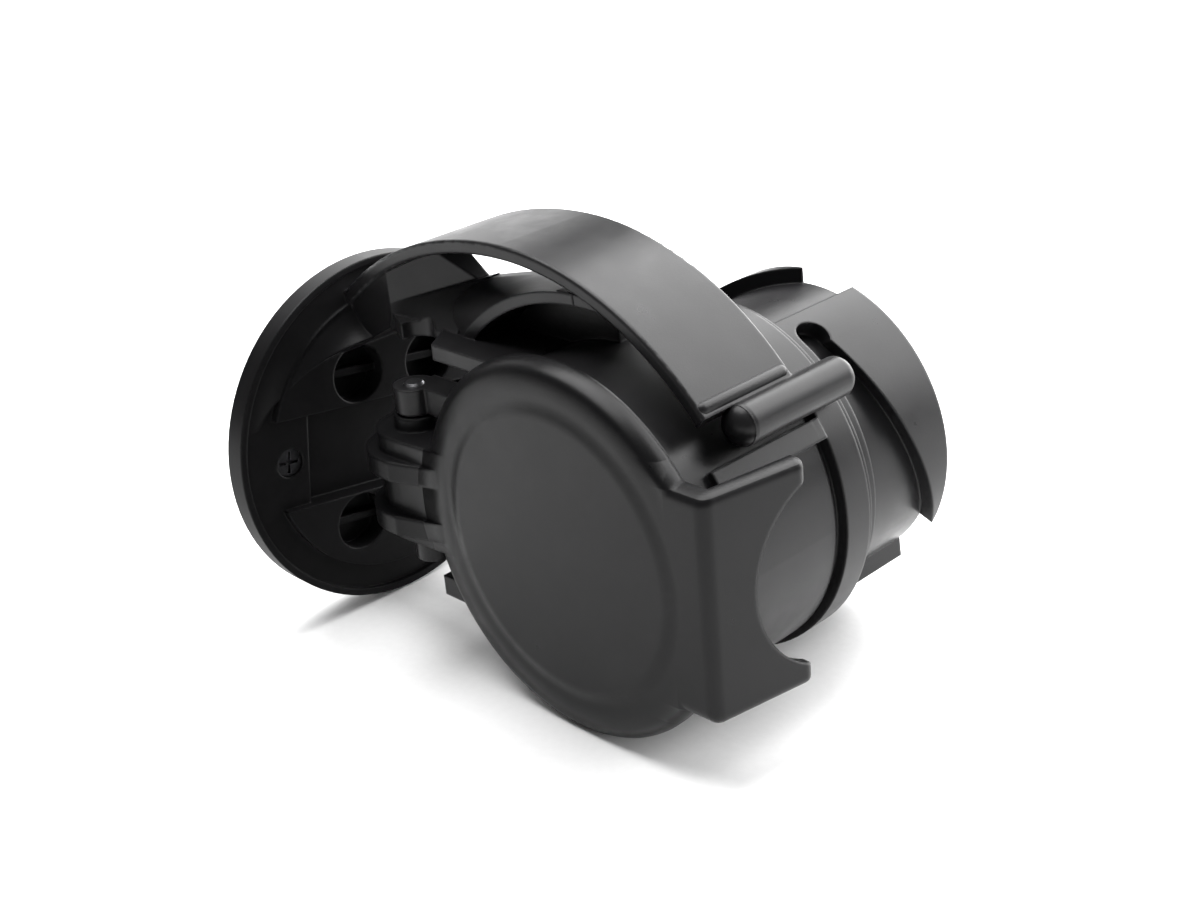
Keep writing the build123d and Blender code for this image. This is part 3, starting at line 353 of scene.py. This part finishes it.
SCREW_DARK = (0.02, 0.02, 0.022)
SCREW_LIGHT = (0.07, 0.07, 0.074)
black_zinc = metal("black_zinc", SCREW_DARK, SCREW_LIGHT, rough=0.3, grain=0.15, depth=0.01)
paint(black_zinc, "side_cover_screws", "clamp_screws")


# The socket insert stands in the bell's mouth: a hard black moulding with the brass
# contact tubes in its holes, a plate of clamped tails behind it and a seal round it.
INSERT_DARK = (0.014, 0.014, 0.015)
INSERT_LIGHT = (0.022, 0.022, 0.023)
insert_plastic = moulded(
    "insert_plastic", INSERT_DARK, INSERT_LIGHT, sheen=0.4, grain=0.3, depth=0.02
)
paint(insert_plastic, "socket_insert", "contact_plate")

BRASS_DARK = (0.42, 0.27, 0.1)
BRASS_LIGHT = (0.74, 0.54, 0.25)
contact_brass = metal(
    "contact_brass", BRASS_DARK, BRASS_LIGHT, rough=0.24, grain=0.2, depth=0.012
)
paint(contact_brass, "socket_contacts")


# The plug nose carries the brass pins in its own insert. Wires link them to the socket's
# contacts, and a sprung steel ring on the neck keeps the coupling ring from coming off.
PLUG_DARK = (0.016, 0.016, 0.017)
PLUG_LIGHT = (0.026, 0.026, 0.028)
plug_plastic = moulded(
    "plug_plastic", PLUG_DARK, PLUG_LIGHT, sheen=0.42, grain=0.28, depth=0.02
)
paint(plug_plastic, "plug_insert")

paint(contact_brass, "plug_pins")

RETAINER_DARK = (0.3, 0.29, 0.28)
RETAINER_LIGHT = (0.52, 0.51, 0.5)
retainer_steel = metal(
    "retainer_steel", RETAINER_DARK, RETAINER_LIGHT, rough=0.3, grain=0.2, depth=0.012
)
paint(retainer_steel, "ring_retainer")

WIRE_DARK = (0.16, 0.03, 0.02)
WIRE_LIGHT = (0.24, 0.05, 0.035)
wire_cover = moulded("wire_cover", WIRE_DARK, WIRE_LIGHT, sheen=0.5, grain=0.5, depth=0.01)
paint(wire_cover, "link_wires")


# The coupling ring is a smoother black moulding with three raised starts, whose slanting
# walls pull the plug home. It turns a quarter turn on the nose, held by a sprung ring.
ring_plastic = moulded(
    "ring_plastic",
    BODY_DARK,
    BODY_LIGHT,
    sheen=0.35,
    grain=0.24,
    depth=0.01,
    edge=0.5,
    gloss=1.25,
)
paint(ring_plastic, "bayonet_ring")


# The hinged lid has a scooped skirt for the finger, a banded knuckle on a steel pin, a
# coiled spring that keeps it shut and a rubber seal inside it against the mouth.
LID_DARK = (0.0035, 0.0034, 0.0037)
LID_LIGHT = (0.0065, 0.0063, 0.0068)
CROWN_START = 22.4
CROWN_END = 27.2
CROWN_DROP = 1.5
EAR_CORNER = 17.5
# Left of this, on the knuckle and below the strap, the lid is darkened with painted shade.
KNUCKLE_EDGE = -26.0
lid_plastic = moulded(
    "lid_plastic",
    LID_DARK,
    LID_LIGHT,
    sheen=0.36,
    grain=0.22,
    depth=0.008,
    edge=0.8,
    gloss=1.25,
    shade_from=KNUCKLE_EDGE,
    crown=(CROWN_START, CROWN_END, CROWN_DROP, EAR_CORNER),
)
paint(lid_plastic, "lid")

paint(rubber("lid_rubber", GASKET_DARK, GASKET_LIGHT), "lid_seal")

HINGE_DARK = (0.03, 0.03, 0.032)
HINGE_LIGHT = (0.11, 0.11, 0.115)
pin_steel = metal("pin_steel", HINGE_DARK, HINGE_LIGHT, rough=0.3, grain=0.2, depth=0.01)
paint(pin_steel, "hinge_pin")

SPRING_DARK = (0.25, 0.24, 0.23)
SPRING_LIGHT = (0.45, 0.44, 0.43)
spring_steel = metal(
    "spring_steel", SPRING_DARK, SPRING_LIGHT, rough=0.26, grain=0.12, depth=0.008
)
paint(spring_steel, "lid_spring")


# The floor is a wide pale sheet under the adapter, soft and slightly uneven as paper is.
FLOOR_SIZE = 10.0
FIBRE_SIZE = 1.2
PAPER_DARK = (0.8, 0.8, 0.8)
PAPER_LIGHT = (0.86, 0.86, 0.86)
lowest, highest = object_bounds()
bpy.ops.mesh.primitive_plane_add(size=FLOOR_SIZE, location=(0, 0, lowest[2]))
floor = bpy.context.object
floor.name = "floor"
paper = Finish("pale_paper")
fibre = paper.noise(FIBRE_SIZE, 4.0)
floor.data.materials.append(
    paper.surface(
        Base_Color=paper.between(fibre, PAPER_DARK, PAPER_LIGHT),
        Roughness=0.9,
        Normal=paper.relief(fibre, 0.02, 0.0),
    )
)


# Soft studio light in a pale room: a wide low softbox behind the adapter lights its top,
# one overhead lights the strap and the floor, and a small one far left draws the rims.
ROOM_COLOUR = (1.0, 1.0, 1.0, 1.0)
ROOM_STRENGTH = 0.2
world = bpy.data.worlds.new("studio")
world.use_nodes = True
bpy.context.scene.world = world
room = world.node_tree.nodes["Background"]
room.inputs["Color"].default_value = ROOM_COLOUR
room.inputs["Strength"].default_value = ROOM_STRENGTH


def softbox(name, place, size, power):
    """A square soft light at this place, in metres and watts, that faces the adapter."""
    bpy.ops.object.light_add(type="AREA", location=place)
    light = bpy.context.object
    light.name = name
    light.data.shape = "SQUARE"
    light.data.size = size
    light.data.energy = power
    light.rotation_euler = Vector(place).to_track_quat("Z", "Y").to_euler()


softbox("back_softbox", place=(0.1, 1.0, 0.5), size=1.4, power=58.0)
softbox("left_softbox", place=(-0.95, 0.5, 0.35), size=0.6, power=2.6)
softbox("top_softbox", place=(-0.25, 0.06, 1.0), size=0.9, power=24.0)
bpy.context.scene.view_settings.view_transform = "Standard"


# The camera stands to the front right of the socket end, a little above it, and leans a
# few degrees, as in the photograph.
CAMERA_TURN = math.radians(47.69)
CAMERA_HEIGHT = math.radians(24.38)
CAMERA_LEAN = math.radians(-5.28)
CAMERA_PLACE = (0.15081, -0.13093, 0.10413)
CAMERA_LENS = 51.0
CAMERA_NEAR = 0.01
bpy.ops.object.camera_add()
camera = bpy.context.object
camera.matrix_world = (
    Matrix.Translation(CAMERA_PLACE)
    @ Matrix.Rotation(CAMERA_TURN, 4, "Z")
    @ Matrix.Rotation(math.pi / 2 - CAMERA_HEIGHT, 4, "X")
    @ Matrix.Rotation(CAMERA_LEAN, 4, "Z")
)
camera.data.lens = CAMERA_LENS
camera.data.clip_start = CAMERA_NEAR
bpy.context.scene.camera = camera
